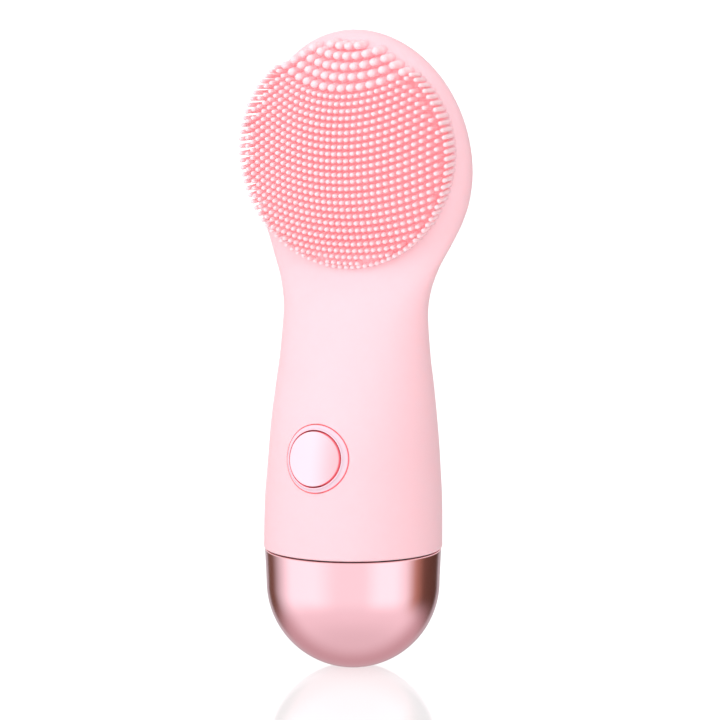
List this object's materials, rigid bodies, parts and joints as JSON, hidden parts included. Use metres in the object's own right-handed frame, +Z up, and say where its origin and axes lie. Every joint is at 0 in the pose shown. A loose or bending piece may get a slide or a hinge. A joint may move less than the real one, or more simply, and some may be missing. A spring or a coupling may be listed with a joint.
{
  "type": "facial cleansing brush",
  "caption": "Handheld facial cleansing brush: round paddle head with silicone bristles, waisted handle with a push button, and a twist-off metallic dome base.",
  "frame": {"origin": "middle of the small flat foot under the dome base, on the handle's axis", "axes": "+Z up along the handle towards the head, bristles and button face -Y, +X to the right seen from the front"},
  "size_m": [0.062, 0.0473, 0.1653],
  "materials": {
    "silicone": "soft-touch matte silicone, pale baby pink",
    "bristle": "matte silicone bristles, pale pink tips over deeper coral roots",
    "rose_metal": "satin rose-gold anodised aluminium",
    "gloss_white": "glossy pale lavender-white plastic",
    "button_face": "satin pale pink-white plastic",
    "red_seal": "coral-red silicone seal",
    "abs": "white ABS",
    "board": "green glass-fibre board",
    "steel": "nickel-plated steel",
    "black": "black plastic",
    "copper": "copper winding",
    "cell_wrap": "blue shrink wrap",
    "red_wire": "red PVC insulation",
    "black_wire": "black PVC insulation",
    "grey_rubber": "grey rubber"
  },
  "bodies": {
    "handle": {"silicone_sleeve": "silicone", "bristle_pad": "bristle", "scrub_nubs": "bristle", "button_ring": "gloss_white", "button_seal": "red_seal", "switch_body": "steel", "switch_board": "board", "front_shell": "abs", "rear_shell": "abs", "shell_screw_1": "steel", "shell_screw_2": "steel", "shell_screw_3": "steel", "shell_screw_4": "steel", "threaded_neck": "abs", "neck_seal_ring": "grey_rubber", "battery_cell": "cell_wrap", "battery_tab_bottom": "steel", "battery_tab_top": "steel", "battery_holder": "abs", "control_board": "board", "control_chip": "black", "charge_board": "board", "charge_socket": "steel", "board_screw_1": "steel", "board_screw_2": "steel", "motor_can": "steel", "motor_magnet": "black", "motor_end_cap": "abs", "motor_cradle": "grey_rubber", "motor_lead_red": "red_wire", "motor_lead_black": "black_wire", "battery_lead_red": "red_wire", "battery_lead_black": "black_wire", "charge_lead": "black_wire"},
    "button": {"power_button": "button_face", "switch_plunger": "black"},
    "cap_slider": {"cap_gasket": "grey_rubber"},
    "twist_cap": {"base_cap": "rose_metal", "cap_core": "abs"},
    "rotor": {"motor_shaft": "steel", "motor_armature": "copper", "eccentric_weight": "steel"}
  },
  "joints": [
    {"name": "button_press", "type": "slide", "parent": "handle", "child": "button", "axis": [0, 0.9945, -0.1045], "range_m": [0, 0.0006], "stiffness_N_per_m": 600, "springref_m": -0.0005},
    {"name": "cap_travel", "type": "slide", "parent": "handle", "child": "cap_slider", "axis": [0, 0, -1], "range_m": [0, 0.006]},
    {"name": "cap_twist", "type": "hinge", "parent": "cap_slider", "child": "twist_cap", "pos_m": [0, 0, 0.0271], "axis": [0, 0, -1], "range_deg": [0, 720]},
    {"name": "rotor_spin", "type": "hinge", "parent": "handle", "child": "rotor", "pos_m": [0, 0.0049, 0.13], "axis": [0, 0, 1], "continuous": true}
  ],
  "couplings": [
    {"joint": "cap_twist", "follows": "cap_travel", "rad_per_m": 2094.4}
  ]
}
